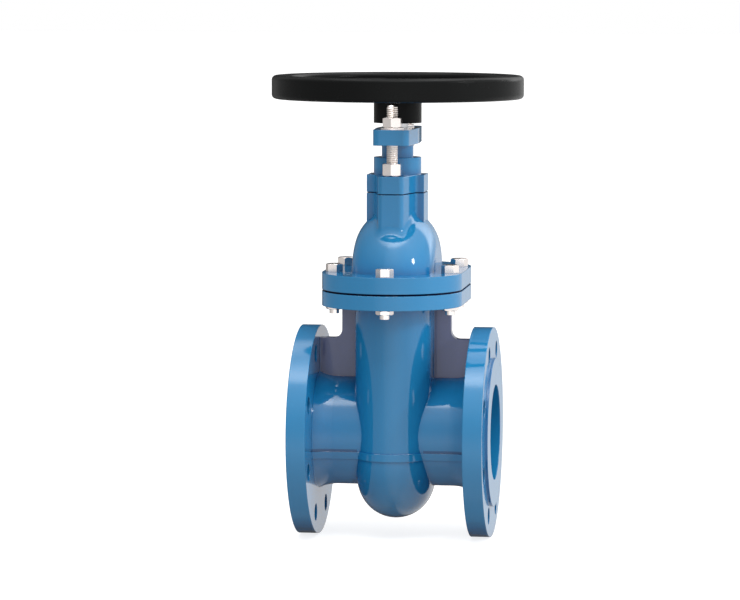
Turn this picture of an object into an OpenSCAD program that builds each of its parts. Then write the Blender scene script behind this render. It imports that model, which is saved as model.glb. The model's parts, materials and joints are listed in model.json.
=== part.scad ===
// Flanged, gland-packed wedge gate valve, DN100, with a non-rising stem.
// The origin is the centre of the inlet flange's raised face. +X runs along
// the flow, +Z is up along the stem. Sizes are in millimetres.

/* [Pipe flanges] */
// Bore of the valve
bore_d = 100; // [80:1:110]
// Length over both raised faces
face_to_face = 208; // [200:1:260]
// Outer diameter of a pipe flange
flange_d = 220; // [210:1:260]
// Thickness of a pipe flange without its raised face
flange_t = 20; // [14:0.5:30]
// Diameter of the raised face
raised_face_d = 156; // [140:1:165]
// Height of the raised face
raised_face_h = 3; // [1:0.5:5]
// Bolt circle of a pipe flange
pipe_bolt_circle = 181; // [178:1:200]
// Number of bolts in a pipe flange
pipe_bolts = 8; // [4:4:16]
// Hole for a pipe flange bolt
pipe_bolt_hole = 18; // [14:0.5:22]
// Length of the flare between a neck and its pipe flange
flare_run = 20; // [10:1:24]
// Growth in radius over the flare
flare_rise = 5; // [2:0.5:8]

/* [Body] */
// Wall of the neck
neck_wall = 7.2; // [5:0.1:10]
// Half the thickness of the chamber along the flow
chamber_r = 39.5; // [36:0.5:44]
// Distance of the chamber's round ends from the stem
chamber_d = 31; // [24:0.5:36]
// Wall of the chamber
chamber_wall = 6.5; // [5:0.5:9]
// Depth of the bore axis over the centre of the round bottom
bottom_drop = 21.5; // [18:0.5:30]
// Depth of the band's upper edge under the bore axis
band_drop = 16.5; // [10:0.5:30]
// Height of the raised band round the body
band_h = 8; // [4:0.5:12]
// How far the band stands out
band_out = 1.2; // [0.5:0.1:2]
// Thickness of the webs
web_t = 12; // [8:0.5:18]
// Height of the webs' level edge over the bore axis
web_z = 97.5; // [88:0.5:110]
// Distance of the webs' upright edge from the stem
web_x = 57.5; // [50:0.5:70]
// Inner corner radius of the webs
web_corner = 9; // [4:1:14]

/* [Bonnet joint] */
// Height of the bonnet joint over the bore axis
joint_z = 151.3; // [140:0.1:190]
// Radius of the joint flanges' round ends
joint_r = 73; // [68:0.5:80]
// Distance of their round ends from the stem
joint_d = 39; // [30:1:50]
// Thickness of the body's joint flange
body_joint_t = 15; // [10:0.5:20]
// Thickness of the bonnet's joint flange
bonnet_joint_t = 17; // [12:0.5:24]
// Thickness of the gasket
gasket_t = 2; // [1:0.5:3]
// Distance of the bonnet bolts from the flange edge
joint_bolt_edge = 12.5; // [11:0.5:16]
// Offset of the side bolts from the stem
side_bolt_y = 42; // [34:1:52]
// Diameter of the bonnet bolts
bolt_d = 10; // [8:1:12]

/* [Bonnet] */
// Half the thickness of the dome along the flow
dome_r = 43; // [40:0.5:48]
// Distance of the dome's round ends from the stem
dome_d = 31; // [26:0.5:36]
// Wall of the bonnet
dome_wall = 7; // [5:0.5:10]
// Width of the bonnet's head along the flow
head_x = 60; // [54:1:70]
// Length of the bonnet's head across the flow
head_y = 36; // [34:1:60]
// Height of the bonnet's head over the bonnet joint
bonnet_h = 97.7; // [92:0.1:110]
// Width of the gland bolt lugs where they leave the head
lug_x = 43; // [38:1:48]
// Reach of the gland bolt lugs from the stem
lug_y = 57; // [55:0.5:60]
// Taper of the lugs' sides in degrees
lug_taper = 13; // [6:1:16]
// Corner radius of the lugs
lug_corner = 5; // [3:0.5:6]
// Depth of the lugs from the top of the head
lug_h = 51; // [48:1:54]
// Radius of the blend between a lug and the dome
lug_blend = 16; // [8:1:18]
// Radius of the fillet between a lug and the head
lug_fillet = 4; // [2:0.5:5]

/* [Stuffing box] */
// Height of the stuffing box head over the bonnet
box_head_h = 18; // [14:0.5:30]
// Outer diameter of the collar
collar_d = 49.6; // [44:0.2:56]
// Height of the collar
collar_h = 17.7; // [10:0.1:24]
// Diameter of the packing space
packing_d = 34; // [30:1:38]
// Height of one packing ring
packing_h = 6; // [5:0.5:8]
// Number of packing rings
packing_rings = 4; // [3:1:5]
// Height of the gland bar's underside over the collar
gland_rise = 14.3; // [8:0.1:18]
// Thickness of the gland bar
gland_t = 16; // [12:0.5:22]
// Width of the gland bar at the stem
gland_x = 44; // [42:1:50]
// Length of the gland bar
gland_y = 116; // [110:1:120]
// Taper of the gland bar's sides in degrees
gland_taper = 4; // [2:1:10]
// Corner radius of the gland bar
gland_corner = 7; // [3:0.5:8]
// Distance of the gland bolts from the stem
gland_bolt_y = 43; // [42:1:50]
// Diameter of the gland bolts
gland_bolt_d = 12; // [10:0.2:15]

/* [Stem and wedge] */
// Diameter of the stem
stem_d = 22; // [20:0.2:27]
// Lead of the stem thread
stem_lead = 6; // [4:0.5:8]
// Diameter of the stem thread
thread_d = 22; // [18:0.5:24]
// Half angle of the wedge
wedge_angle = 5; // [3:0.5:6]
// Radius of the wedge
wedge_r = 55.5; // [53:0.5:57]
// Half thickness of the wedge at the bore axis
wedge_half = 19; // [17:0.5:20]

/* [Handwheel] */
// Diameter of the handwheel
wheel_d = 263; // [200:2:320]
// Height of the rim
rim_h = 24.2; // [16:0.1:28]
// Width of the rim
rim_w = 22; // [16:1:30]
// Number of spokes
spokes = 4; // [3:1:6]
// Diameter of the hub
hub_d = 50; // [40:1:56]
// Height of the hub's underside over the gland bar
hub_gap = 5.5; // [3:0.5:10]

/* [Hidden] */
$fn = 96;

PAINT = [0.27, 0.51, 0.70];
ZINC = [0.80, 0.80, 0.80];
BRONZE = [0.72, 0.55, 0.30];
DARK = [0.13, 0.13, 0.13];
GRAPHITE = [0.25, 0.25, 0.26];

// Play between a turning or sliding piece and what holds it
play = 0.4;
// Overlap of a cut past the face it opens
cut = 1;

stem_x = face_to_face / 2;
flange_in = stem_x - raised_face_h - flange_t;
neck_r = bore_d / 2 + neck_wall;
bottom_z = -bottom_drop;
band_top = -band_drop;

// Bonnet joint
bonnet_z = joint_z + gasket_t;
bonnet_top_z = bonnet_z + bonnet_joint_t;
bolt_line_r = joint_r - joint_bolt_edge;
joint_bolts = [
    [0, joint_d + bolt_line_r], [0, -joint_d - bolt_line_r],
    for (sx = [-1, 1]) for (sy = [-1, 1]) [sx * bolt_line_r, sy * side_bolt_y]];
bolt_af = 1.6 * bolt_d;
bolt_head_h = 0.85 * bolt_d;
bolt_nut_h = 0.5 * bolt_d;
bolt_turn = [0, 9, 53, 29, 0, 10];
bolt_end = 4.3;

// Seats: the ring's face stands on the wedge's slope
seat_face_x = wedge_half + 3;
seat_t = 9;
seat_stand = 4;
seat_id = bore_d;
seat_od = seat_id + 8;
boss_r = seat_od / 2 + 3;
stem_gap = 2;

// Wedge travel: a whole number of turns that raises the wedge clear of the bore
lift = stem_lead * ceil((bore_d / 2 + wedge_r) / stem_lead);
ring_t = 3;
seal_gap = 0.3;
nut_z = wedge_r + 2;
nut_h = 24;
stem_low_z = nut_z - 2;

// Plan of a lug
lug_corner_x = corner_x(lug_x / 2, head_y / 2, lug_y, lug_corner, lug_taper);
lug_side_end = lug_y - lug_corner + lug_corner * sin(lug_taper);
fillet_run = lug_fillet * (1 - sin(lug_taper)) / cos(lug_taper);

// Dome
dome_z = bonnet_z + 6.5;
dome_in_r = dome_r - dome_wall;
dome_crown = 14;
blend_lift = 1;

// Head, stuffing box and gland
head_z = bonnet_z + bonnet_h;
lug_z = head_z - lug_h;
box_z = head_z + 1;
box_top_z = box_z + box_head_h;
collar_top_z = box_top_z + collar_h;
thrust_d = stem_d + 14;
thrust_h = 9;
packing_low_z = collar_top_z - packing_rings * packing_h - 4;
gland_low_z = collar_top_z + gland_rise;
gland_top_z = gland_low_z + gland_t;
gland_af = 1.54 * gland_bolt_d;
gland_nut_h = 0.9 * gland_bolt_d;
box_nut_h = 1.1 * gland_bolt_d;
washer_t = 2;
stud_rise = 12.2;
stud_top_z = gland_top_z + washer_t + gland_nut_h + stud_rise;

// Studs, threads and the neck of the gland
thread_fit = 0.1;
stud_low_z = head_z - 30;
thread_top_z = nut_z + lift + nut_h + 8;
gland_neck_d = packing_d - 1;
gland_neck_flare = 4;
gland_d = 6;

// Handwheel
hub_z = gland_top_z + hub_gap;
spoke_z = stud_top_z + 2.8;
rim_z = stud_top_z + 5.6;
rim_mid_z = rim_z + rim_h / 2;
rim_corner = 4.5;
wheel_r = wheel_d / 2;
rim_in_r = wheel_r - rim_w;
spoke_turn = 23;
spoke_t = 11;
hub_top_z = spoke_z + spoke_t;
spoke_hub_w = 28;
spoke_rim_w = 34;
square_z = hub_z + 8;
square_w = 15;
wheel_stud_d = 12;
wheel_nut_h = 0.65 * wheel_stud_d;
wheel_stud_h = washer_t + wheel_nut_h + 1.2;

module at_stem() translate([stem_x, 0, 0]) children();

module obround(r, d) {
    for (s = [-1, 1]) translate([0, s * d]) circle(r);
    square([2 * r, 2 * d], center = true);
}

// Offset from the middle of the corner circles at the front of a tapered outline
function corner_x(half, root, front, corner, taper) =
    half - (corner + (front - corner - root) * sin(taper)) / cos(taper);

// Outline along +Y, as wide as 2 * half up to root, that tapers to a front with rounded corners
module tapered(half, root, front, corner, taper) {
    x = corner_x(half, root, front, corner, taper);
    for (m = [0, 1]) mirror([m, 0]) {
        translate([x, front - corner]) circle(corner);
        polygon([
            [0, 0], [half, 0], [half, root],
            [x + corner * cos(taper), front - corner + corner * sin(taper)],
            [x, front - corner], [x, front], [0, front]]);
    }
}

module column(r, d, low, high) translate([0, 0, low]) linear_extrude(high - low) obround(r, d);

// Half of a disc with a round rim: side -1 is its lower half, 1 its upper half
module half_disc(r, d, z, side)
    translate([0, 0, z]) rotate([0, 90, 0]) rotate([0, 0, side * 90]) rotate_extrude(angle = 180) {
        translate([0, -r]) square([d, 2 * r]);
        intersection() {
            translate([d, 0]) circle(r);
            translate([d, -r]) square([r, 2 * r]);
        }
    }

module along_flow(from, to, d) translate([from, 0, 0]) rotate([0, 90, 0]) cylinder(h = to - from, d = d);

// A disc square to the slope that crosses the bore axis at x, from low to high along the slope's normal
module on_slope(side, x, low, high, d)
    rotate([0, 0, side > 0 ? 0 : 180]) translate([x, 0, 0]) rotate([0, 90 + wedge_angle, 0])
        translate([0, 0, low]) cylinder(h = high - low, d = d);

// A neck flares towards its pipe flange on an arc that meets the neck smoothly
module neck_profile(grow) {
    flare_r = (pow(flare_run, 2) + pow(flare_rise, 2)) / (2 * flare_rise);
    square([neck_r + grow, stem_x]);
    translate([grow, raised_face_h + flange_t]) difference() {
        square([neck_r + flare_rise, flare_run]);
        translate([neck_r + flare_r, flare_run]) circle(flare_r, $fn = 360);
    }
}

module pipe_end_profile() {
    square([raised_face_d / 2, raised_face_h + 1]);
    translate([0, raised_face_h]) square([flange_d / 2, flange_t]);
    neck_profile(0);
}

module pipe_end(side)
    rotate([0, 0, side > 0 ? 180 : 0]) translate([-stem_x, 0, 0]) rotate([0, 90, 0])
        rotate_extrude() children();

module web_outline() {
    difference() {
        translate([-flange_in - 1, 0]) square([2 * flange_in + 2, joint_z - body_joint_t + 1]);
        for (m = [0, 1]) mirror([m, 0]) {
            translate([web_x + web_corner, web_z]) square([flange_in, joint_z]);
            translate([web_x, web_z + web_corner]) square([flange_in, joint_z]);
            translate([web_x + web_corner, web_z + web_corner]) circle(web_corner);
        }
    }
}

module chamber_space(grow) {
    column(chamber_r - chamber_wall + grow, chamber_d, bottom_z, joint_z - body_joint_t);
    half_disc(chamber_r - chamber_wall + grow, chamber_d, bottom_z, -1);
}

module joint_holes(low, high)
    for (p = joint_bolts) translate([p[0], p[1], low]) cylinder(h = high - low, d = bolt_d + 1);

// The seat bosses are part of the casting: each carries a seat ring in a pocket
module seat_bosses() intersection() {
    for (side = [-1, 1]) on_slope(side, seat_face_x, seat_stand, chamber_r, 2 * boss_r);
    chamber_space(1);
}

module body_outside() {
    for (side = [-1, 1]) pipe_end(side) pipe_end_profile();
    column(chamber_r, chamber_d, bottom_z, joint_z - body_joint_t + 1);
    half_disc(chamber_r, chamber_d, bottom_z, -1);
    column(joint_r, joint_d, joint_z - body_joint_t, joint_z);
    translate([0, web_t / 2, 0]) rotate([90, 0, 0]) linear_extrude(web_t) web_outline();
    intersection() {
        union() {
            for (side = [-1, 1]) pipe_end(side) neck_profile(band_out);
            column(chamber_r + band_out, chamber_d, band_top - band_h - 1, band_top + 1);
        }
        translate([-flange_in - 1, -stem_x, band_top - band_h])
            cube([2 * flange_in + 2, 2 * stem_x, band_h]);
    }
}

module body() color(PAINT) at_stem() difference() {
    union() {
        difference() {
            body_outside();
            column(chamber_r - chamber_wall, chamber_d, bottom_z, joint_z + cut);
            half_disc(chamber_r - chamber_wall, chamber_d, bottom_z, -1);
        }
        seat_bosses();
    }
    along_flow(-stem_x - cut, stem_x + cut, bore_d);
    for (side = [-1, 1]) on_slope(side, seat_face_x, -cut, seat_t, seat_od + 2 * thread_fit);
    for (side = [-1, 1]) rotate([0, side * 90, 0]) translate([0, 0, flange_in - cut])
        for (i = [0:pipe_bolts - 1]) rotate([0, 0, (i + 0.5) * 360 / pipe_bolts])
            translate([pipe_bolt_circle / 2, 0, 0]) cylinder(h = flange_t + 2 * cut, d = pipe_bolt_hole);
    joint_holes(joint_z - body_joint_t - cut, joint_z + cut);
}

module seat_ring(side) color(BRONZE) at_stem() difference() {
    on_slope(side, seat_face_x, 0, seat_t, seat_od);
    on_slope(side, seat_face_x, -cut, seat_t + cut, seat_id);
}

module seat_inlet() seat_ring(-1);
module seat_outlet() seat_ring(1);

module wedge() color(PAINT) at_stem() difference() {
    union() {
        intersection() {
            along_flow(-2 * wedge_half, 2 * wedge_half, 2 * wedge_r);
            rotate([90, 0, 0]) linear_extrude(2 * wedge_r, center = true) wedge_outline();
        }
        translate([0, 0, wedge_r - 12]) cylinder(h = nut_z - wedge_r + 12, d = 2 * wedge_half + 4);
    }
    translate([0, 0, stem_low_z - lift - stem_gap])
        cylinder(h = lift + stem_gap + 4, d = thread_d + stem_gap);
}

module wedge_outline() {
    slope = wedge_r * tan(wedge_angle);
    polygon([
        [-wedge_half + slope, -wedge_r], [wedge_half - slope, -wedge_r],
        [wedge_half + slope, wedge_r], [-wedge_half - slope, wedge_r]]);
}

module wedge_ring(side) color(BRONZE) at_stem() difference() {
    on_slope(side, wedge_half, 0, ring_t - seal_gap, seat_od - 2);
    on_slope(side, wedge_half, -cut, ring_t + cut, seat_id - 1);
}

module wedge_ring_inlet() wedge_ring(-1);
module wedge_ring_outlet() wedge_ring(1);

module stem_nut() color(BRONZE) at_stem() translate([0, 0, nut_z]) difference() {
    cylinder(h = nut_h, d = thread_d + 16);
    translate([0, 0, -cut]) cylinder(h = nut_h + 2 * cut, d = thread_d + 2 * play);
}

module bonnet_gasket() color(GRAPHITE) at_stem() difference() {
    column(joint_r - 3, joint_d, joint_z, bonnet_z);
    column(chamber_r - chamber_wall + 4, chamber_d, joint_z - cut, bonnet_z + cut);
    joint_holes(joint_z - cut, bonnet_z + cut);
}

// Fillet in plan between a lug's side and the head's front
module lug_root_fillet(inset) difference() {
    x = lug_x / 2 - inset;
    y = head_y / 2 - inset;
    rise = lug_fillet * (1 - sin(lug_taper));
    polygon([
        [x - 1, y - 1], [x + fillet_run, y - 1], [x + fillet_run, y],
        [x + fillet_run - lug_fillet * cos(lug_taper), y + rise], [x - 1, y + rise]]);
    translate([x + fillet_run, y + lug_fillet]) circle(lug_fillet);
}

module head_outline(inset) {
    square([head_x - 2 * inset, head_y - 2 * inset], center = true);
    for (my = [0, 1]) mirror([0, my]) {
        tapered(lug_x / 2 - inset, head_y / 2 - inset, lug_y - inset, lug_corner, lug_taper);
        for (mx = [0, 1]) mirror([mx, 0]) lug_root_fillet(inset);
    }
}

// Height of the dome's skin over a point in plan
function dome_skin(p) = dome_z + sqrt(pow(dome_d + sqrt(pow(dome_r, 2) - pow(p[0], 2)), 2) - pow(p[1], 2));

// A lug's wall in plan, from its right root round the front: each entry is a point and its outward normal
function lug_wall_half() = concat(
    [for (i = [0:5])
        let (y = head_y / 2 - 2 + i / 5 * (lug_side_end - head_y / 2 + 2))
        [[lug_x / 2 - (y - head_y / 2) * tan(lug_taper), y], [cos(lug_taper), sin(lug_taper)]]],
    [for (i = [1:5]) let (a = lug_taper + i / 5 * (90 - lug_taper))
        [[lug_corner_x + lug_corner * cos(a), lug_y - lug_corner + lug_corner * sin(a)], [cos(a), sin(a)]]],
    [for (i = [1:2]) [[lug_corner_x * (1 - i / 2), lug_y], [0, 1]]]);

function lug_wall() = let (half = lug_wall_half(), n = len(half)) concat(
    half,
    [for (i = [2:n]) [[-half[n - i][0][0], half[n - i][0][1]], [-half[n - i][1][0], half[n - i][1][1]]]]);

// A ball touching the lug's wall and resting on the dome: its height, and how far out it rests
function ball_rest(w) =
    let (r = lug_blend, tries = [for (i = [0:24]) let (s = i / 24 * r)
        [dome_skin(w[0] + s * w[1]) + sqrt(r * r - pow(s - r, 2)), s]])
    let (top = max([for (t = tries) t[0]]))
    [top, [for (t = tries) if (t[0] == top) t[1]][0]];

// One ring of the blend in the upright plane of the wall's normal, closed inside the lug and the dome
function blend_ring(w) =
    let (rest = ball_rest(w), top = rest[0] + blend_lift, turn = acos(1 - rest[1] / lug_blend))
    let (low = dome_skin(w[0] + rest[1] * w[1]))
    let (line = concat(
        [[-3, top + 0.8], [-0.3, top + 0.8]],
        [for (k = [1:6]) [lug_blend * (1 - cos(turn * k / 6)), top - lug_blend * sin(turn * k / 6)]],
        [[rest[1] + 0.2, low - 1], [-3, low - 3]]))
    [for (q = line) [w[0][0] + q[0] * w[1][0], w[0][1] + q[0] * w[1][1], q[1]]];

module lug_dome_blend() {
    rings = [for (w = lug_wall()) blend_ring(w)];
    m = len(rings[0]);
    n = len(rings);
    polyhedron(
        [for (ring = rings) each ring],
        concat(
            [[for (j = [0:m - 1]) j]],
            [[for (j = [0:m - 1]) n * m - 1 - j]],
            [for (i = [0:n - 2]) for (j = [0:m - 1]) each [
                [i * m + j, (i + 1) * m + j, (i + 1) * m + (j + 1) % m],
                [i * m + j, (i + 1) * m + (j + 1) % m, i * m + (j + 1) % m]]]));
}

module stud_holes(low, high, d)
    for (side = [-1, 1]) translate([0, side * gland_bolt_y, low]) cylinder(h = high - low, d = d);

module bonnet() color(PAINT) at_stem() difference() {
    union() {
        column(joint_r, joint_d, bonnet_z, bonnet_top_z);
        half_disc(dome_r, dome_d, dome_z, 1);
        translate([0, 0, dome_z + dome_d]) linear_extrude(head_z - dome_z - dome_d)
            square([head_x, head_y], center = true);
        translate([0, 0, lug_z]) linear_extrude(head_z - lug_z) head_outline(0);
        for (m = [0, 1]) mirror([0, m]) lug_dome_blend();
    }
    half_disc(dome_in_r, dome_d, dome_z - dome_crown, 1);
    translate([0, 0, dome_z]) cylinder(h = head_z - dome_z, d = stem_d + 1);
    translate([0, 0, head_z - thrust_h - 2 * play]) cylinder(h = head_z, d = thrust_d + 2 * play);
    stud_holes(stud_low_z - play, head_z + cut, gland_bolt_d + 2 * thread_fit);
    joint_holes(bonnet_z - cut, bonnet_top_z + cut);
}

// A hexagon with its corners turned off at 30 degrees at the top, and at the bottom too where both is set
module hex_prism(across_flats, h, both) intersection() {
    face_r = 0.475 * across_flats;
    corner_r = across_flats / 2 / cos(30) + 0.1;
    rise = (corner_r - face_r) * tan(30);
    cylinder(h = h, d = across_flats / cos(30), $fn = 6);
    rotate_extrude() polygon([
        [0, 0], if (both) [face_r, 0], [corner_r, both ? rise : 0],
        [corner_r, h - rise], [face_r, h], [0, h]]);
}

module bonnet_bolt() {
    translate([0, 0, bonnet_top_z]) hex_prism(bolt_af, bolt_head_h, false);
    translate([0, 0, joint_z - body_joint_t - bolt_nut_h - bolt_end])
        cylinder(h = body_joint_t + gasket_t + bonnet_joint_t + bolt_nut_h + bolt_end + cut, d = bolt_d);
}

module at_joint_bolts() for (i = [0:len(joint_bolts) - 1])
    translate([joint_bolts[i][0], joint_bolts[i][1], 0]) rotate([0, 0, bolt_turn[i]]) children();

module bonnet_bolts() color(ZINC) at_stem() at_joint_bolts() bonnet_bolt();

module bonnet_nuts() color(ZINC) at_stem() at_joint_bolts()
    translate([0, 0, joint_z - body_joint_t - bolt_nut_h]) difference() {
        hex_prism(bolt_af, bolt_nut_h, true);
        translate([0, 0, -cut]) cylinder(h = bolt_nut_h + 2 * cut, d = bolt_d + 2 * thread_fit);
    }

module box_gasket() color(GRAPHITE) at_stem() translate([0, 0, head_z]) difference() {
    linear_extrude(box_z - head_z) head_outline(1);
    translate([0, 0, -cut]) cylinder(h = 4 * cut, d = thrust_d + 4);
    stud_holes(-cut, 3 * cut, gland_bolt_d + 1);
}

module stuffing_box() color(PAINT) at_stem() difference() {
    union() {
        translate([0, 0, box_z]) linear_extrude(box_head_h) head_outline(0);
        translate([0, 0, box_top_z - 1]) cylinder(h = collar_h + 1, d = collar_d);
    }
    translate([0, 0, box_z - cut]) cylinder(h = collar_top_z, d = stem_d + 1);
    translate([0, 0, packing_low_z]) cylinder(h = collar_top_z, d = packing_d);
    stud_holes(box_z - cut, box_top_z + cut, gland_bolt_d + 1);
}

module packing() color(GRAPHITE) at_stem() for (i = [0:packing_rings - 1])
    translate([0, 0, packing_low_z + i * packing_h]) difference() {
        cylinder(h = packing_h, d = packing_d - play);
        translate([0, 0, -cut]) cylinder(h = packing_h + 2 * cut, d = stem_d + 2 * play);
    }

module gland_outline() for (m = [0, 1]) mirror([0, m])
    tapered(gland_x / 2, gland_d, gland_y / 2, gland_corner, gland_taper);

module gland() color(PAINT) at_stem() difference() {
    union() {
        translate([0, 0, gland_low_z]) linear_extrude(gland_t) gland_outline();
        translate([0, 0, gland_low_z]) rotate_extrude() difference() {
            translate([0, -gland_neck_flare])
                square([gland_neck_d / 2 + gland_neck_flare, gland_neck_flare + 1]);
            translate([gland_neck_d / 2 + gland_neck_flare, -gland_neck_flare]) circle(gland_neck_flare);
        }
        translate([0, 0, collar_top_z - 4]) cylinder(h = gland_low_z - collar_top_z + 5, d = gland_neck_d);
    }
    translate([0, 0, collar_top_z - 4 - cut]) cylinder(h = gland_top_z, d = stem_d + 1);
    stud_holes(gland_low_z - cut, gland_top_z + cut, gland_bolt_d + 1);
}

module gland_stud(side) color(ZINC) at_stem() translate([0, side * gland_bolt_y, stud_low_z])
    cylinder(h = stud_top_z - stud_low_z, d = gland_bolt_d);

module gland_stud_front() gland_stud(-1);
module gland_stud_back() gland_stud(1);

module stud_nuts(z, h) color(ZINC) at_stem() for (side = [-1, 1])
    translate([0, side * gland_bolt_y, z]) rotate([0, 0, 30]) difference() {
        hex_prism(gland_af, h, true);
        translate([0, 0, -cut]) cylinder(h = h + 2 * cut, d = gland_bolt_d + 2 * thread_fit);
    }

module box_nuts() stud_nuts(box_top_z, box_nut_h);
module gland_nuts() stud_nuts(gland_top_z + washer_t, gland_nut_h);

module gland_washers() color(ZINC) at_stem() for (side = [-1, 1])
    translate([0, side * gland_bolt_y, gland_top_z]) difference() {
        cylinder(h = washer_t, d = 2 * gland_bolt_d);
        translate([0, 0, -cut]) cylinder(h = washer_t + 2 * cut, d = gland_bolt_d + 1);
    }

module stem() color(ZINC) at_stem() {
    translate([0, 0, stem_low_z]) cylinder(h = thread_top_z - stem_low_z, d = thread_d);
    translate([0, 0, thread_top_z - 1]) cylinder(h = square_z - thread_top_z + 1, d = stem_d);
    translate([0, 0, head_z - thrust_h - play]) cylinder(h = thrust_h, d = thrust_d);
    translate([0, 0, square_z - 1]) linear_extrude(hub_top_z - square_z) square(square_w, center = true);
    translate([0, 0, hub_top_z - 2]) cylinder(h = wheel_stud_h + 2, d = wheel_stud_d);
}

module rim_section() {
    r = rim_corner;
    square([rim_w - 2 * r, rim_h], center = true);
    square([rim_w, rim_h - 2 * r], center = true);
    for (sx = [-1, 1]) for (sy = [-1, 1]) translate([sx * (rim_w / 2 - r), sy * (rim_h / 2 - r)]) circle(r);
}

// A spoke rises from the hub to the rim and is level at both ends
module spoke() intersection() {
    rotate([90, 0, 0]) linear_extrude(2 * spoke_rim_w, center = true) polygon([
        [0, spoke_z], [hub_d / 2 + 26, spoke_z],
        [rim_in_r - 4, rim_mid_z - spoke_t / 2], [rim_in_r + 4, rim_mid_z - spoke_t / 2],
        [rim_in_r + 4, rim_mid_z + spoke_t / 2], [rim_in_r - 6, rim_mid_z + spoke_t / 2],
        [hub_d / 2 + 2, hub_top_z], [0, hub_top_z]]);
    translate([0, 0, hub_z]) linear_extrude(rim_z + rim_h - hub_z) polygon([
        [0, -spoke_hub_w / 2], [hub_d / 2, -spoke_hub_w / 2], [rim_in_r + 4, -spoke_rim_w / 2],
        [rim_in_r + 4, spoke_rim_w / 2], [hub_d / 2, spoke_hub_w / 2], [0, spoke_hub_w / 2]]);
}

module handwheel() color(DARK) at_stem() difference() {
    union() {
        translate([0, 0, rim_mid_z]) rotate_extrude() translate([wheel_r - rim_w / 2, 0]) rim_section();
        translate([0, 0, hub_z]) cylinder(h = hub_top_z - hub_z, d = hub_d);
        for (i = [0:spokes - 1]) rotate([0, 0, spoke_turn + i * 360 / spokes]) spoke();
    }
    translate([0, 0, hub_z - cut]) cylinder(h = square_z - hub_z + cut, d = stem_d + 2 * thread_fit);
    translate([0, 0, square_z - cut]) linear_extrude(hub_top_z)
        square(square_w + 2 * thread_fit, center = true);
}

module wheel_washer() color(ZINC) at_stem() translate([0, 0, hub_top_z]) difference() {
    cylinder(h = washer_t, d = 2 * wheel_stud_d);
    translate([0, 0, -cut]) cylinder(h = washer_t + 2 * cut, d = wheel_stud_d + 1);
}

module wheel_nut() color(ZINC) at_stem() translate([0, 0, hub_top_z + washer_t]) difference() {
    hex_prism(1.5 * wheel_stud_d, wheel_nut_h, true);
    translate([0, 0, -cut]) cylinder(h = wheel_nut_h + 2 * cut, d = wheel_stud_d + 2 * thread_fit);
}

body();
seat_inlet();
seat_outlet();
wedge();
wedge_ring_inlet();
wedge_ring_outlet();
stem_nut();
bonnet_gasket();
bonnet();
bonnet_bolts();
bonnet_nuts();
stuffing_box();
box_gasket();
packing();
gland();
gland_stud_front();
gland_stud_back();
box_nuts();
gland_nuts();
gland_washers();
stem();
handwheel();
wheel_washer();
wheel_nut();
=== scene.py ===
# %% [markdown]
# # A flanged gate valve in blue enamel
#
# A gate valve shuts a water pipe. Its handwheel turns a threaded stem, and the stem lifts a wedge
# out of the way of the flow. The iron castings, the stem and the fasteners were built in a CAD
# program, and they keep their place and their shape here. This lesson adds what the eye reads as
# real: the gloss of the enamel, the skin of the sand casting, the bright zinc of the bolts, the
# threads of the studs, the swept fillet under the lugs, and the light. The model's box is written
# down first, because the finished valve must not outgrow it.

import json
import math

import bmesh
import bpy
from mathutils import Matrix, Vector

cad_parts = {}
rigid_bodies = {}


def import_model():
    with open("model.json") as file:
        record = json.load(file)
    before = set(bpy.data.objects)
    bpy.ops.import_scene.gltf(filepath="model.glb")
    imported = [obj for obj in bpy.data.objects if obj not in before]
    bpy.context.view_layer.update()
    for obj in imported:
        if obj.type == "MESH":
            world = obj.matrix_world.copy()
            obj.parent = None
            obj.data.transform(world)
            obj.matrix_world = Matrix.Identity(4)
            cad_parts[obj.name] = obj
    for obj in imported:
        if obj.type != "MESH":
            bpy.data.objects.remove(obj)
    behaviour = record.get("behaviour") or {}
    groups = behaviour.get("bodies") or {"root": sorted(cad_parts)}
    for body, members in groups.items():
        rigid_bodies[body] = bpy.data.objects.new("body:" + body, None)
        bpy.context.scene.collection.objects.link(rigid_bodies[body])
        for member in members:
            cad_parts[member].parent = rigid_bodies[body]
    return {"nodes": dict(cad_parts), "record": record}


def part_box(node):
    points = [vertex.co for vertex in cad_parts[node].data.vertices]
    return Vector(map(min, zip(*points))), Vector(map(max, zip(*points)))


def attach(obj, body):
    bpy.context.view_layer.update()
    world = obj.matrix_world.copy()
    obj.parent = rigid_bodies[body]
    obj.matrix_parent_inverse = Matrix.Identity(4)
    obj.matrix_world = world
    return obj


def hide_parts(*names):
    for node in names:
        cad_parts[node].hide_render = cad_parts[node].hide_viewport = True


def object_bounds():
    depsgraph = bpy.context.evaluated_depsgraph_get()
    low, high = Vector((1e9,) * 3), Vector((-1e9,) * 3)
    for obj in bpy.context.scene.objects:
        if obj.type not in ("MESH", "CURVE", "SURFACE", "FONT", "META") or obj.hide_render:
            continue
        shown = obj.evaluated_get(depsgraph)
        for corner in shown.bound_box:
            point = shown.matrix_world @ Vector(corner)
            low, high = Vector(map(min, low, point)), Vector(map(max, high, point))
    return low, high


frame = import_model()
cad_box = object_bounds()
print("box:", [round(v, 4) for v in (*cad_box[0], *cad_box[1])])


# %% Object helpers
def new_object(name, data):
    """Put a new object into the scene, at the origin."""
    made = bpy.data.objects.new(name, data)
    bpy.context.scene.collection.objects.link(made)
    return made


def looking_at(place, aim, roll=0.0):
    """A pose for a camera or a lamp, which both look along their own downward axis."""
    turn = (aim - place).to_track_quat("-Z", "Y").to_matrix().to_4x4()
    return Matrix.Translation(place) @ turn @ Matrix.Rotation(roll, 4, "Z")


def describe(piece):
    """Print a finished piece's faces, its open edges, which should be none, and its volume."""
    shape = bmesh.new()
    shape.from_mesh(piece.data)
    open_edges = sum(1 for edge in shape.edges if not edge.is_manifold)
    volume = round(shape.calc_volume() * 1e9)
    print(piece.name, "faces:", len(shape.faces), "open edges:", open_edges, "mm3:", volume)
    shape.free()


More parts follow.
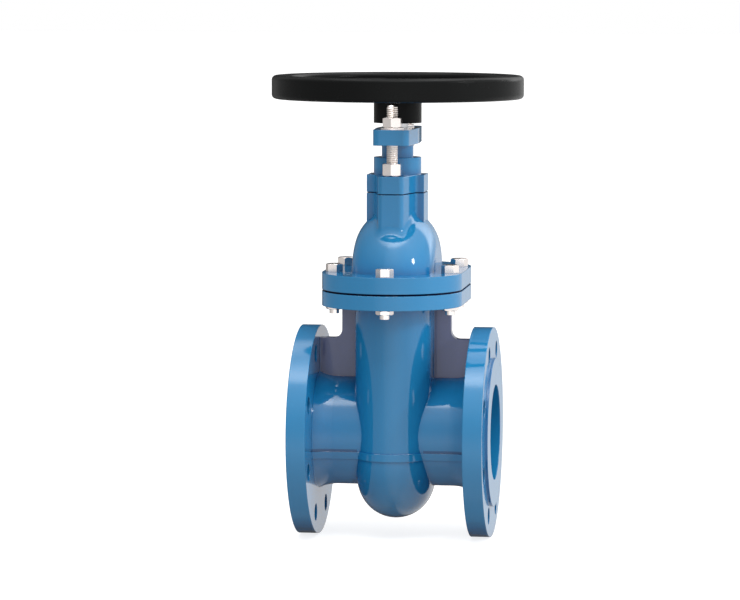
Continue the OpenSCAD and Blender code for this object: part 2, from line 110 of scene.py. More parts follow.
# %% [markdown]
# ## The camera
#
# A tall object is best seen from far away through a long lens, because its upright edges then
# stay upright. The camera stands a little to the right of the valve and a little above its
# middle, and looks slightly down, so that the outlet flange and the tops of the joint flanges
# both show.

# %% Place the camera
CAMERA_PLACE = Vector((0.5756, -3.5957, 0.4792))
CAMERA_AIM = Vector((0.0751, 0.0, 0.1371))
CAMERA_ROLL = math.radians(0.09)
LENS_LENGTH = 168.981  # millimetres, in front of Blender's usual 36 mm sensor
NEAREST, FARTHEST = 0.05, 50.0

camera_data = bpy.data.cameras.new("camera")
camera = new_object("camera", camera_data)
bpy.context.scene.camera = camera
camera_data.sensor_fit = "HORIZONTAL"
camera_data.lens = LENS_LENGTH
camera_data.clip_start, camera_data.clip_end = NEAREST, FARTHEST
camera.matrix_world = looking_at(CAMERA_PLACE, CAMERA_AIM, CAMERA_ROLL)
print("angle of view:", round(math.degrees(camera_data.angle), 2), "degrees")

# %% [markdown]
# ## Small helpers for shader trees
#
# A material is a tree of nodes. To keep the cells short, one helper adds a node and fills its
# inputs: a plain number or colour is written to the socket, and another node's output is linked
# to it. Colours are given from 0 to 255 as on a paint chart and turned into linear values.


# %% Node helpers
def fill_socket(tree, socket, value):
    if isinstance(value, bpy.types.NodeSocket):
        tree.links.new(value, socket)
    else:
        socket.default_value = value


def add_node(tree, kind, inputs=None, **settings):
    """Add a node, apply its settings, and fill its inputs by index or by name."""
    node = tree.nodes.new(kind)
    for name, value in settings.items():
        setattr(node, name, value)
    for key, value in (inputs or {}).items():
        fill_socket(tree, node.inputs[key], value)
    return node


def math_node(tree, operation, first, second=0.0, third=0.0):
    inputs = {0: first, 1: second, 2: third}
    return add_node(tree, "ShaderNodeMath", inputs, operation=operation).outputs[0]


def map_range(tree, value, start, end, low=0.0, high=1.0):
    """Turn the range from start to end into the range from low to high, and hold it there."""
    inputs = {0: value, 1: start, 2: end, 3: low, 4: high}
    return add_node(tree, "ShaderNodeMapRange", inputs).outputs[0]


def start_material(name):
    material = bpy.data.materials.new(name)
    material.use_nodes = True
    tree = material.node_tree
    tree.nodes.clear()
    shader = add_node(tree, "ShaderNodeBsdfPrincipled")
    output = add_node(tree, "ShaderNodeOutputMaterial", {"Surface": shader.outputs[0]})
    output.is_active_output = True
    return material, tree, shader


# %% Colour helpers
def srgb(red, green, blue):
    """A colour as a paint chart gives it, 0 to 255, as the linear values that Blender wants."""
    steps = (red / 255, green / 255, blue / 255)
    linear = [c / 12.92 if c <= 0.04045 else ((c + 0.055) / 1.055) ** 2.4 for c in steps]
    return (*linear, 1.0)


def grey(level):
    return (level, level, level, 1.0)


def shade(colour, factor):
    """The same colour, darker or lighter."""
    return (*(min(1.0, c * factor) for c in colour[:3]), 1.0)


def mix_colours(tree, factor, low, high):
    """A colour mix: low and high are colours, or outputs of other nodes."""
    mixed = add_node(tree, "ShaderNodeMix", {0: factor}, data_type="RGBA")
    fill_socket(tree, mixed.inputs[6], low)
    fill_socket(tree, mixed.inputs[7], high)
    return mixed.outputs[2]


# %% [markdown]
# ## The floor
#
# Floor and backdrop read as one white sheet. White paint would throw its light back at the valve
# and wash it out. So the floor is a mid grey, and the Light Path node adds a glow that shows only
# to the eye and in mirrors and glass. The glow lights nothing, and the valve's soft shadow still
# darkens the grey, so the valve doesn't float. Mirror rays skip the sheet and meet the room
# below it, which is as bright.

# %% Build the floor
FLOOR_SIZE = 60.0
FLOOR_GREY = 0.4
FLOOR_MOTTLE = 0.02
FLOOR_GRAIN_SCALE = 3.0
FLOOR_ROUGHNESS = 0.9
FLOOR_SHINE = 0.1
FLOOR_GLOW = 0.8
floor_z = cad_box[0].z


def make_floor_finish():
    material, tree, shader = start_material("studio_floor")
    grain = add_node(tree, "ShaderNodeTexNoise", {"Scale": FLOOR_GRAIN_SCALE, "Detail": 2.0})
    dark, light = grey(FLOOR_GREY * (1 - FLOOR_MOTTLE)), grey(FLOOR_GREY * (1 + FLOOR_MOTTLE))
    fill_socket(tree, shader.inputs["Base Color"], mix_colours(tree, grain.outputs[0], dark, light))
    shader.inputs["Roughness"].default_value = FLOOR_ROUGHNESS
    shader.inputs["Specular IOR Level"].default_value = FLOOR_SHINE
    path = add_node(tree, "ShaderNodeLightPath").outputs
    seen = math_node(tree, "MAXIMUM", path["Is Glossy Ray"], path["Is Transmission Ray"])
    seen = math_node(tree, "MAXIMUM", path["Is Camera Ray"], seen)
    glow = math_node(tree, "MULTIPLY", seen, FLOOR_GLOW)
    shader.inputs["Emission Color"].default_value = grey(1.0)
    fill_socket(tree, shader.inputs["Emission Strength"], glow)
    return material


def build_floor():
    mesh = bpy.data.meshes.new("floor")
    half = FLOOR_SIZE / 2
    plan = [(-half, -half), (half, -half), (half, half), (-half, half)]
    mesh.from_pydata([(x, y, floor_z) for x, y in plan], [], [(0, 1, 2, 3)])
    mesh.materials.append(make_floor_finish())
    sheet = new_object("floor", mesh)
    sheet.visible_glossy = False
    return sheet


floor = build_floor()
print(floor.name, "at z", round(floor_z, 4))

# %% [markdown]
# ## The room around the valve
#
# Glossy enamel is a mirror with a colour under it, so the room matters more than the lamps do. It
# is a ring of grey walls, dim behind the valve on the left and brighter in front, with a wide
# soft lamp high above and a tall softbox to the right and a little behind. Walls and boxes could
# be modelled, but two tables say the same with far less: one gives the level round the ring by
# compass angle, the other gives it by height, and their product is the room. Only mirror rays
# see it. Diffuse rays see one even level, so a colour comes out about as it is written, and the
# eye sees plain white.

# %% Tables for the room
AMBIENT_LEVEL = 0.88
RING = [
    (-180, 0.10), (-168, 0.06), (-158, 0.12), (-140, 0.40), (-103, 0.50), (-82, 0.64),
    (-54, 0.72), (-25, 0.85), (-14, 1.18), (0, 1.36), (17, 1.46), (46, 1.32),
    (72, 1.50), (100, 1.30), (150, 0.85), (172, 0.82), (180, 0.50),
]
HEIGHT = [
    (-90, 0.80), (-70, 1.10), (-45, 1.00), (-27, 1.08), (-16, 1.22), (-7, 1.08),
    (0, 0.90), (7, 0.78), (19, 0.84), (32, 1.20), (41, 1.40), (50, 1.70),
    (55, 2.20), (60, 5.40), (66, 6.80), (74, 5.20), (83, 2.60), (90, 1.80),
]
SOFTBOX_RING = [(133, 0.0), (140, 1.0), (149, 0.75), (158, 0.4), (166, 0.12), (174, 0.0)]
SOFTBOX_HEIGHT = [(1, 0.0), (9, 1.0), (42, 1.0), (58, 0.0)]
SOFTBOX_LEVEL = 2.4
TOP_OF_TABLE = 8.0
RING_FADE = 0.22
ROUND, UPRIGHT = 360, 180  # the spans of the two tables, in degrees


def level_ramp(tree, position, table, span):
    """A ramp over a span of degrees, centred on zero.

    A ramp holds 0 to 1, so the levels go in as shares of the table's top."""
    node = add_node(tree, "ShaderNodeValToRGB", {0: position})
    stops = node.color_ramp.elements
    while len(stops) < len(table):
        stops.new(0.5)
    for stop, (angle, level) in zip(stops, table):
        stop.position = angle / span + 0.5
        stop.color = grey(level / TOP_OF_TABLE)
    return math_node(tree, "MULTIPLY", node.outputs[0], TOP_OF_TABLE)


print("room tables:", len(RING), "levels round the ring,", len(HEIGHT), "by height")


# %% Build the world
def build_room(tree):
    """The room's level in the direction of a ray. The ring fades out towards the top."""
    direction = add_node(tree, "ShaderNodeTexCoord").outputs["Generated"]
    axis = add_node(tree, "ShaderNodeSeparateXYZ", {0: direction}).outputs
    back = math_node(tree, "MULTIPLY", axis["Y"], -1.0)
    turn = math_node(tree, "ARCTAN2", axis["X"], back)
    around = math_node(tree, "MULTIPLY_ADD", turn, 1 / math.tau, 0.5)
    climb = math_node(tree, "ARCSINE", axis["Z"])
    up = math_node(tree, "MULTIPLY_ADD", climb, 1 / math.pi, 0.5)
    flat = math_node(tree, "SUBTRACT", 1.0, math_node(tree, "MULTIPLY", axis["Z"], axis["Z"]))
    fade = math_node(tree, "POWER", math_node(tree, "MAXIMUM", flat, 0.0), RING_FADE)
    ring = math_node(tree, "SUBTRACT", level_ramp(tree, around, RING, ROUND), 1.0)
    ring = math_node(tree, "MULTIPLY_ADD", ring, fade, 1.0)
    walls = math_node(tree, "MULTIPLY", ring, level_ramp(tree, up, HEIGHT, UPRIGHT))
    softbox_width = level_ramp(tree, around, SOFTBOX_RING, ROUND)
    softbox_height = level_ramp(tree, up, SOFTBOX_HEIGHT, UPRIGHT)
    softbox = math_node(tree, "MULTIPLY", softbox_width, softbox_height)
    return math_node(tree, "MULTIPLY_ADD", softbox, SOFTBOX_LEVEL, walls)


def build_world():
    world = bpy.data.worlds.new("studio_world")
    bpy.context.scene.world = world
    world.use_nodes = True
    tree = world.node_tree
    tree.nodes.clear()
    path = add_node(tree, "ShaderNodeLightPath").outputs
    mirrored = {0: path["Is Glossy Ray"], 2: AMBIENT_LEVEL, 3: build_room(tree)}
    indirect = add_node(tree, "ShaderNodeMix", mirrored).outputs[0]
    direct = math_node(tree, "MAXIMUM", path["Is Camera Ray"], path["Is Transmission Ray"])
    strength = add_node(tree, "ShaderNodeMix", {0: direct, 2: indirect, 3: 1.0}).outputs[0]
    light = {"Color": grey(1.0), "Strength": strength}
    back = add_node(tree, "ShaderNodeBackground", light)
    add_node(tree, "ShaderNodeOutputWorld", {"Surface": back.outputs[0]})
    return tree


world_tree = build_world()
print("world nodes:", len(world_tree.nodes))

# %% [markdown]
# ## The lamps
#
# Three lamps finish the light. A small one far to the right makes the crisp spark on the dome.
# The wide one hangs where the room's bright patch is, high in front, and gives the light a
# direction and the floor its shadow. The third fills the sides that face right. The wide lamps
# stay out of the mirror image, because the room already holds their reflections.


# %% Add the lamps
def add_soft_lamp(name, place, width, height, watts, mirrored):
    data = bpy.data.lights.new(name, "AREA")
    data.shape = "RECTANGLE"
    data.size, data.size_y = width, height
    data.energy = watts
    lamp = new_object(name, data)
    lamp.matrix_world = looking_at(place, middle)
    lamp.visible_glossy = mirrored
    print(name, "lamp:", watts, "W at", [round(v, 2) for v in place])


middle = (cad_box[0] + cad_box[1]) / 2
above = middle + Vector((0.15, -1.2, 2.4))
beside = middle + Vector((2.3, -0.2, 0.5))
add_soft_lamp("spark", Vector((2.01, -0.68, 1.10)), 0.22, 0.22, 7, mirrored=True)
add_soft_lamp("overhead", above, 1.6, 1.2, 34, mirrored=False)
add_soft_lamp("side_fill", beside, 1.2, 1.6, 26, mirrored=False)

# %% [markdown]
# ## Enamel on a sand casting
#
# The body is cast in sand, so its skin is faintly uneven, and the enamel over it levels the grain
# to a gentle orange peel. Both are far too fine to model, so they are a bump made of two noises.
# Every edge of a casting is a little round, which the Bevel node shows without more faces. All
# of it goes into one shader group that puts out a normal and two masks. The group is built once,
# and every finish uses it with its own strength.

# %% Build the casting skin group
CASTING_INPUTS = (
    ("Grain Scale", 900.0),
    ("Peel Scale", 260.0),
    ("Relief", 0.35),
    ("Edge Radius", 0.0012),
)
MOTTLE_SCALE, FILM_SCALE = 22.0, 70.0
GRAIN_SHARE = 0.25
RELIEF_HEIGHT = 0.00008


def build_casting_skin():
    group = bpy.data.node_groups.new("casting_skin", "ShaderNodeTree")
    sockets = group.interface
    for name, value in CASTING_INPUTS:
        socket = sockets.new_socket(name, in_out="INPUT", socket_type="NodeSocketFloat")
        socket.default_value = value
    sockets.new_socket("Normal", in_out="OUTPUT", socket_type="NodeSocketVector")
    sockets.new_socket("Mottle", in_out="OUTPUT", socket_type="NodeSocketFloat")
    sockets.new_socket("Film", in_out="OUTPUT", socket_type="NodeSocketFloat")
    given = add_node(group, "NodeGroupInput").outputs
    place = add_node(group, "ShaderNodeTexCoord").outputs["Object"]

    def noise(scale, detail):
        inputs = {"Vector": place, "Scale": scale, "Detail": detail}
        return add_node(group, "ShaderNodeTexNoise", inputs).outputs[0]

    grain, peel = noise(given["Grain Scale"], 3.0), noise(given["Peel Scale"], 1.0)
    height = math_node(group, "MULTIPLY_ADD", grain, GRAIN_SHARE, peel)
    rounded = add_node(group, "ShaderNodeBevel", {"Radius": given["Edge Radius"]}, samples=6)
    relief = {"Strength": given["Relief"], "Distance": RELIEF_HEIGHT, "Height": height}
    bump = add_node(group, "ShaderNodeBump", {**relief, "Normal": rounded.outputs[0]})
    masks = {"Mottle": noise(MOTTLE_SCALE, 3.0), "Film": noise(FILM_SCALE, 2.0)}
    add_node(group, "NodeGroupOutput", {"Normal": bump.outputs[0], **masks})
    return group


casting_skin = build_casting_skin()
print("casting skin sockets:", [item.name for item in casting_skin.interface.items_tree])

# %% [markdown]
# ## Paints, fibre and graphite
#
# The blue enamel is a saturated coat over primer. Its gloss is nearly that of a mirror, so most of
# the look comes from what it reflects. In inner corners every finish here gets painted shade, a
# darker colour where ambient occlusion finds the corners at two reaches, a wide one for hollows and
# a short one for creases. The handwheel has a duller black coat. The joint gasket is dark fibre
# and the gland packing is graphite: both are the same recipe with more relief and no gloss.
#
# Two places on the body take another colour. The webs under the joint flange take a slate colour,
# and a fine dark line of painted shade runs along the necks at the upper edge of the raised band.
# Both are masks made of boxes in the body's own coordinates, so no seam has to be cut into the CAD
# piece.

# %% Paint helpers
HOLLOW_REACH, CREASE_REACH = 0.03, 0.008
SHUT_IN, IN_THE_OPEN = 0.3, 0.9
NOISE_LOW, NOISE_HIGH = 0.3, 0.7
ZONE_CREASE_SHADE = 0.7
ROUGHNESS_SPREAD = 0.15


def use_casting_skin(tree, edge_radius, relief):
    skin = add_node(tree, "ShaderNodeGroup", node_tree=casting_skin)
    skin.inputs["Edge Radius"].default_value = edge_radius
    skin.inputs["Relief"].default_value = relief
    return skin.outputs


def vary(tree, noise, value, spread):
    """A value that drifts to both sides with a noise."""
    low, high = value * (1 - spread), value * (1 + spread)
    return map_range(tree, noise, NOISE_LOW, NOISE_HIGH, low, high)


def find_openness(tree):
    """One on open faces, falling to zero in hollows and creases, where shade is painted."""
    hollow, crease = (
        add_node(tree, "ShaderNodeAmbientOcclusion", {"Distance": reach}, samples=8).outputs["AO"]
        for reach in (HOLLOW_REACH, CREASE_REACH)
    )
    return map_range(tree, math_node(tree, "MULTIPLY", hollow, crease), SHUT_IN, IN_THE_OPEN)


def zone_mask(tree, low, high, soft):
    """One inside the box from low to high, with an edge that fades over soft metres."""
    place = add_node(tree, "ShaderNodeTexCoord").outputs["Object"]
    axis = add_node(tree, "ShaderNodeSeparateXYZ", {0: place}).outputs
    mask = 1.0
    for name, start, end in zip("XYZ", low, high):
        rise = map_range(tree, axis[name], start - soft, start)
        fall = map_range(tree, axis[name], end, end + soft, 1.0, 0.0)
        mask = math_node(tree, "MULTIPLY", mask, math_node(tree, "MULTIPLY", rise, fall))
    return mask


def make_finish(name, colour, painted_shade, roughness, edge_radius, relief, spread, shine=0.5, zones=()):
    """A finish that isn't metal. Painted shade is the darker colour it takes in hollows and
    creases.

    Zones are boxes with another colour or painted shade, each given as a colour, low, high and
    soft."""
    material, tree, shader = start_material(name)
    skin = use_casting_skin(tree, edge_radius, relief)
    darker, lighter = shade(colour, 1 - spread), shade(colour, 1 + spread)
    openness = find_openness(tree)
    tint = mix_colours(tree, skin["Mottle"], darker, lighter)
    # painted shade: the tint darkens to the shade colour in hollows and creases
    tint = mix_colours(tree, openness, painted_shade, tint)
    for zone_colour, low, high, soft in zones:
        # inside a zone too, hollows and creases take painted shade
        shaded = mix_colours(tree, openness, shade(zone_colour, ZONE_CREASE_SHADE), zone_colour)
        tint = mix_colours(tree, zone_mask(tree, low, high, soft), tint, shaded)
    fill_socket(tree, shader.inputs["Base Color"], tint)
    rough = vary(tree, skin["Film"], roughness, ROUGHNESS_SPREAD)
    fill_socket(tree, shader.inputs["Roughness"], rough)
    fill_socket(tree, shader.inputs["Normal"], skin["Normal"])
    shader.inputs["IOR"].default_value = 1.5
    shader.inputs["Specular IOR Level"].default_value = shine
    print("finish:", name)
    return material


# %% Mark the zones of the body
# a slate colour on the webs under the joint flange
WEB_SLATE = srgb(108, 114, 148)
WEB_ENDS = ((0.0235, 0.0638), (0.1442, 0.1845))
WEB_HALF_WIDTH = 0.0062
WEB_LOW, WEB_HIGH, WEB_SOFT = 0.0545, 0.1362, 0.0006
# painted shade: a fine dark line along the necks at the raised band's upper edge
BAND_SHADE = srgb(12, 84, 134)
BAND_ENDS = ((0.0200, 0.0690), (0.1390, 0.1880))
BAND_FACES = ((-0.0700, -0.0530), (0.0530, 0.0700))
BAND_LOW, BAND_HIGH, BAND_SOFT = -0.0163, -0.0142, 0.0010

body_zones = []
for start, end in WEB_ENDS:
    low, high = (start, -WEB_HALF_WIDTH, WEB_LOW), (end, WEB_HALF_WIDTH, WEB_HIGH)
    body_zones.append((WEB_SLATE, low, high, WEB_SOFT))
for start, end in BAND_ENDS:
    for front, back in BAND_FACES:
        low, high = (start, front, BAND_LOW), (end, back, BAND_HIGH)
        body_zones.append((BAND_SHADE, low, high, BAND_SOFT))
print("zones on the body:", len(body_zones))

# %% Make the paints
# the second colour of each pair is the painted shade for hollows and creases
BLUE, SHADE_BLUE = srgb(31, 123, 174), srgb(20, 100, 152)
BLACK, SHADE_BLACK = srgb(17, 18, 18), srgb(10, 10, 11)
FIBRE, SHADE_FIBRE = srgb(0, 28, 76), srgb(0, 18, 52)
GRAPHITE, SHADE_GRAPHITE = srgb(60, 60, 62), srgb(30, 30, 31)
GLOSS = {"roughness": 0.08, "edge_radius": 0.0014, "relief": 0.15, "spread": 0.03}
SATIN = {"roughness": 0.25, "edge_radius": 0.002, "relief": 0.3, "spread": 0.12, "shine": 0.07}
FIBROUS = {"roughness": 0.7, "edge_radius": 0.0003, "relief": 1.0, "spread": 0.2, "shine": 0.1}
PRESSED = {"roughness": 0.55, "edge_radius": 0.0006, "relief": 1.0, "spread": 0.2}

blue_enamel = make_finish("blue_enamel", BLUE, SHADE_BLUE, **GLOSS)
body_enamel = make_finish("body_enamel", BLUE, SHADE_BLUE, zones=body_zones, **GLOSS)
black_enamel = make_finish("black_enamel", BLACK, SHADE_BLACK, **SATIN)
fibre = make_finish("gasket_fibre", FIBRE, SHADE_FIBRE, **FIBROUS)
graphite = make_finish("packing_graphite", GRAPHITE, SHADE_GRAPHITE, **PRESSED)

# %% [markdown]
# ## Metals
#
# Bolts, nuts and studs are zinc plated: a pale metal with a soft, slightly cloudy shine. The stem
# is turned stainless steel, and the seats, the wedge's rings and the stem nut are bronze. One
# recipe serves them all: a tint, a little cloud in it and a little drift in the roughness. The
# threads have a paler zinc, painted lighter to make up for the shade that their narrow flanks cast
# on each other.

# %% Make the metals
METAL_RELIEF = 0.12
METAL_CLOUD = 0.9
METAL_ROUGHNESS_SPREAD = 0.2


def make_metal(name, colour, roughness, edge_radius):
    material, tree, shader = start_material(name)
    skin = use_casting_skin(tree, edge_radius, METAL_RELIEF)
    tint = mix_colours(tree, skin["Film"], shade(colour, METAL_CLOUD), colour)
    fill_socket(tree, shader.inputs["Base Color"], tint)
    rough = vary(tree, skin["Mottle"], roughness, METAL_ROUGHNESS_SPREAD)
    fill_socket(tree, shader.inputs["Roughness"], rough)
    fill_socket(tree, shader.inputs["Normal"], skin["Normal"])
    shader.inputs["Metallic"].default_value = 1.0
    print("metal:", name)
    return material


zinc = make_metal("zinc_plate", srgb(240, 232, 228), roughness=0.25, edge_radius=0.0004)
# painted light: the threads' zinc is paler to make up for the shade between their flanks
lightened_thread_zinc = make_metal("lightened_thread_zinc", srgb(252, 244, 238), roughness=0.3, edge_radius=0.00008)
stem_steel = make_metal("stem_steel", srgb(190, 190, 192), roughness=0.22, edge_radius=0.0003)
bronze = make_metal("bronze", srgb(205, 160, 95), roughness=0.3, edge_radius=0.0004)

# %% [markdown]
# ## Dress the CAD pieces
#
# Each CAD piece names a material slot in the valve's record, so the finishes are handed out from
# one table, and a piece that is added later is dressed without a new line. Only the body takes a
# finish of its own, the enamel with the zones.

# %% Hand out the finishes
finish_of = {
    "paint": blue_enamel,
    "black_paint": black_enamel,
    "zinc": zinc,
    "stem_steel": stem_steel,
    "bronze": bronze,
    "gasket": fibre,
    "packing": graphite,
}


def dress(node, material):
    mesh = frame["nodes"][node].data
    mesh.materials.clear()
    mesh.materials.append(material)


slot_of = {row["node"]: row["material_slot"] for row in frame["record"]["subparts"]}
for node, slot in slot_of.items():
    dress(node, finish_of[slot])
dress("body", body_enamel)
print("dressed", len(slot_of), "pieces")

# %% [markdown]
# ## The dome and the feet of the lugs
#
# The bonnet's dome swells out under the two gland bolt lugs, and a generous fillet carries each
# lug down to it. A pattern maker sweeps this shape in with filler and a ball-ended tool, and a
# glossy coat shows every fault in it. Faces cut one by one would show as facets, so it is one
# mathematical skin. The dome and the lug are two distance functions, a smooth minimum of the two
# rolls a fillet between them, and rays from inside find the points where it is zero. The skin
# covers the CAD dome and is a little fuller than it. On the lugs it lies a hair under the CAD
# faces, so that the two meet without a step.

# %% Measure the dome
FLANGE_TOP = 0.1703  # top of the bonnet's joint flange
DOME_HALF_WIDTH = 0.043
DOME_CORE = 0.031
DOME_CENTRE_Y = 0.0055
DOME_CENTRE_Z = FLANGE_TOP - 0.0103
LUG_ROOT = Vector((0.0215, 0.018))  # half width and depth where the tapered side starts
LUG_FRONT = 0.057
LUG_CORNER = 0.005
LUG_TAPER = math.radians(13)
LUG_CAP = 0.240
FILLET = 0.005
UNDER_CAD = 0.00005

taper_cos, taper_sin = math.cos(LUG_TAPER), math.sin(LUG_TAPER)
corner_y = LUG_FRONT - LUG_CORNER
side_run = corner_y + LUG_CORNER * taper_sin - LUG_ROOT.y
corner_x = LUG_ROOT.x - side_run * math.tan(LUG_TAPER) - LUG_CORNER * taper_cos
print("lug corner centre, mm:", round(corner_x * 1000, 2), round(corner_y * 1000, 2))


def dome_distance(x, y, z):
    """How far a point is outside the dome: an oval core, rounded by the dome's half width."""
    reach = math.hypot(max(abs(y) - DOME_CENTRE_Y, 0.0), max(z - DOME_CENTRE_Z, 0.0))
    return math.hypot(max(reach - DOME_CORE, 0.0), x) - DOME_HALF_WIDTH


def lug_distance(x, y, z):
    """How far a point is outside the upright lug: a front, two tapered sides, round corners."""
    off_x, off_y = abs(x) - corner_x, abs(y) - corner_y
    if off_x > 0 and off_y > 0 and off_y * taper_cos > off_x * taper_sin:
        wall = math.hypot(off_x, off_y)
    else:
        wall = max(off_x * taper_cos + off_y * taper_sin, off_y)
    return max(wall - LUG_CORNER, z - LUG_CAP) + UNDER_CAD


def skin_distance(point):
    """A smooth minimum of the two: where both are near, it dips below them by a fillet."""
    dome, lug = dome_distance(*point), lug_distance(*point)
    blend = max(FILLET - abs(dome - lug), 0.0)
    return min(dome, lug) - blend * blend / (4 * FILLET)


# %% Sweep the dome skin
SKIN_AROUND, SKIN_UP = 336, 100
SKIN_LOW, SKIN_HIGH = math.radians(4), math.radians(71)
SKIN_MIDDLE = Vector((0.0, 0.0, 0.160))
SKIN_NEAR, SKIN_FAR = 0.02, 0.13
SKIN_HALVINGS = 22
SKIN_CROWDING = 0.3  # spaces the rays unevenly round the stem, in radians
SKIN_THICKNESS = 0.003
stem_low, stem_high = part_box("stem")
stem_axis = Vector(((stem_low.x + stem_high.x) / 2, 0.0, 0.0))


def skin_point(around, up):
    """Where a ray meets the skin: between a point inside and one outside, halved down."""
    flat = math.cos(up)
    ray = Vector((math.sin(around) * flat, -math.cos(around) * flat, math.sin(up)))
    near, far = SKIN_NEAR, SKIN_FAR
    for _ in range(SKIN_HALVINGS):
        half = (near + far) / 2
        if skin_distance(SKIN_MIDDLE + ray * half) < 0:
            near = half
        else:
            far = half
    return near, ray


def skin_ring(shape, up):
    """One ring of points on the skin, and the ring inside it."""
    outside, inside = [], []
    for step in range(SKIN_AROUND):
        around = math.tau * step / SKIN_AROUND
        around -= SKIN_CROWDING * math.sin(2 * around)
        reach, ray = skin_point(around, up)
        for ring, depth in ((outside, 0.0), (inside, SKIN_THICKNESS)):
            ring.append(shape.verts.new(SKIN_MIDDLE + ray * (reach - depth) + stem_axis))
    return outside, inside


def join_rings(shape, low, high):
    """Smooth four-sided faces from one ring to the next. They face out if low is below high."""
    for here in range(SKIN_AROUND):
        beside = (here + 1) % SKIN_AROUND
        face = shape.faces.new((low[here], low[beside], high[beside], high[here]))
        face.smooth = True


def sweep_dome_skin():
    shape = bmesh.new()
    heights = [SKIN_LOW + (SKIN_HIGH - SKIN_LOW) * step / SKIN_UP for step in range(SKIN_UP + 1)]
    outer, inner = zip(*(skin_ring(shape, up) for up in heights))
    for low, high in zip(outer, outer[1:]):
        join_rings(shape, low, high)
    for low, high in zip(inner, inner[1:]):
        join_rings(shape, high, low)
    join_rings(shape, inner[0], outer[0])
    join_rings(shape, outer[-1], inner[-1])
    mesh = bpy.data.meshes.new("dome_skin")
    shape.to_mesh(mesh)
    shape.free()
    mesh.materials.append(blue_enamel)
    skin = new_object("dome_skin", mesh)
    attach(skin, "valve")
    return skin


dome_skin = sweep_dome_skin()
describe(dome_skin)

# %% [markdown]
# ## Threads on the gland studs
#
# The two gland studs are threaded from end to end, and their threads catch the light between the
# nuts. A thread is one ridge wound round a core, so Geometry Nodes makes it: a spiral curve, swept
# with a diamond profile whose inner half stays buried in the core. The crest has the stud's own
# radius, and the core is thinner by the thread's depth. A short cone on top stands for the
# rounded end. The tree takes its sizes as inputs, so the same tree would thread any other bar.

# %% Build the threaded bar tree
BAR_INPUTS = (
    ("Length", 0.1),
    ("Radius", 0.006),
    ("Pitch", 0.002),
    ("Depth", 0.001),
    ("Tip", 0.0015),
)
BAR_SIDES = 64
STEPS_PER_TURN = 36
TIP_NARROWING = 0.74
RIDGE_SHARE = 0.48  # half the ridge's width, as a share of the pitch


def build_core(tree, given, root, straight):
    """The plain bar under the thread, and the cone on its top."""
    half = math_node(tree, "MULTIPLY", straight, 0.5)
    bar = {"Vertices": BAR_SIDES, "Radius": root, "Depth": straight}
    bar = add_node(tree, "GeometryNodeMeshCylinder", bar).outputs[0]
    narrow = math_node(tree, "MULTIPLY", root, TIP_NARROWING)
    tip = {"Radius Top": narrow, "Radius Bottom": root, "Depth": given["Tip"]}
    tip = add_node(tree, "GeometryNodeMeshCone", {"Vertices": BAR_SIDES, **tip}).outputs[0]
    raised = []
    for piece, height in ((bar, half), (tip, straight)):
        lift = add_node(tree, "ShaderNodeCombineXYZ", {"Z": height}).outputs[0]
        moved = add_node(tree, "GeometryNodeTransform", {0: piece, "Translation": lift})
        raised.append(moved.outputs[0])
    return raised


def build_ridge(tree, given, root, straight):
    """The thread itself: a diamond swept up a spiral."""
    turns = math_node(tree, "DIVIDE", straight, given["Pitch"])
    coil = {"Rotations": turns, "Start Radius": root, "End Radius": root, "Height": straight}
    coil = {"Resolution": STEPS_PER_TURN, **coil}
    spiral = add_node(tree, "GeometryNodeCurveSpiral", coil).outputs[0]
    upright = add_node(tree, "GeometryNodeSetCurveNormal", {0: spiral}, mode="Z_UP").outputs[0]
    across = math_node(tree, "MULTIPLY", given["Depth"], 2.0)
    flank = math_node(tree, "MULTIPLY", given["Pitch"], RIDGE_SHARE)
    diamond = {"Width": across, "Bottom Height": flank, "Top Height": flank}
    kind = "GeometryNodeCurvePrimitiveQuadrilateral"
    profile = add_node(tree, kind, diamond, mode="KITE").outputs[0]
    sweep = {0: upright, 1: profile, "Fill Caps": True}
    return add_node(tree, "GeometryNodeCurveToMesh", sweep).outputs[0]


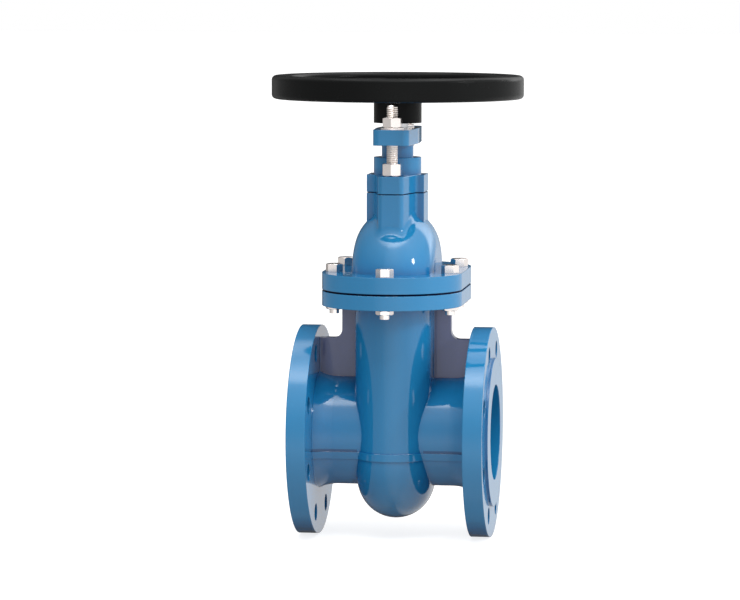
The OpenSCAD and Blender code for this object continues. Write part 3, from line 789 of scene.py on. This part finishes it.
def build_threaded_bar():
    tree = bpy.data.node_groups.new("threaded_bar", "GeometryNodeTree")
    sockets = tree.interface
    for name, value in BAR_INPUTS:
        socket = sockets.new_socket(name, in_out="INPUT", socket_type="NodeSocketFloat")
        socket.default_value = value
    sockets.new_socket("Finish", in_out="INPUT", socket_type="NodeSocketMaterial")
    sockets.new_socket("Geometry", in_out="OUTPUT", socket_type="NodeSocketGeometry")
    given = add_node(tree, "NodeGroupInput").outputs
    root = math_node(tree, "SUBTRACT", given["Radius"], given["Depth"])
    straight = math_node(tree, "SUBTRACT", given["Length"], given["Tip"])
    core, tip = build_core(tree, given, root, straight)
    joined = add_node(tree, "GeometryNodeJoinGeometry")
    for piece in (core, tip, build_ridge(tree, given, root, straight)):
        tree.links.new(piece, joined.inputs[0])
    solid = add_node(tree, "GeometryNodeRealizeInstances", {0: joined.outputs[0]}).outputs[0]
    coated = {0: solid, "Material": given["Finish"]}
    coated = add_node(tree, "GeometryNodeSetMaterial", coated).outputs[0]
    add_node(tree, "NodeGroupOutput", {0: coated})
    return tree


threaded_bar = build_threaded_bar()
print("threaded bar nodes:", len(threaded_bar.nodes))

# %% Turn the gland studs
THREAD_PITCH = 0.002
THREAD_DEPTH = 0.0006


def grow(name, tree, values):
    """Run a node tree on an empty mesh object and keep the result as a plain mesh."""
    seed = new_object(name + "_seed", bpy.data.meshes.new(name + "_seed"))
    modifier = seed.modifiers.new("grow", "NODES")
    modifier.node_group = tree
    sockets = [item for item in tree.interface.items_tree if item.in_out == "INPUT"]
    identifier_of = {item.name: item.identifier for item in sockets}
    for key, value in values.items():
        modifier[identifier_of[key]] = value
    graph = bpy.context.evaluated_depsgraph_get()
    mesh = bpy.data.meshes.new_from_object(seed.evaluated_get(graph), depsgraph=graph)
    bpy.data.objects.remove(seed)
    mesh.name = name
    return new_object(name, mesh)


def turn_stud(node):
    """A threaded stud in the place, the length and the width of the plain CAD one."""
    low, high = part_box(node)
    size = {"Length": high.z - low.z, "Radius": (high.x - low.x) / 2}
    thread = {"Pitch": THREAD_PITCH, "Depth": THREAD_DEPTH, "Finish": lightened_thread_zinc}
    stud = grow(node + "_thread", threaded_bar, {**size, **thread})
    foot = Vector(((low.x + high.x) / 2, (low.y + high.y) / 2, low.z))
    stud.data.transform(Matrix.Translation(foot))
    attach(stud, "valve")
    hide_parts(node)
    return stud


for node in ("gland_stud_front", "gland_stud_back"):
    describe(turn_stud(node))

# %% [markdown]
# ## Finish
#
# The colours are shown as they are, with no film look.

# %% Finish
bpy.context.scene.view_settings.view_transform = "Standard"
bpy.context.view_layer.update()
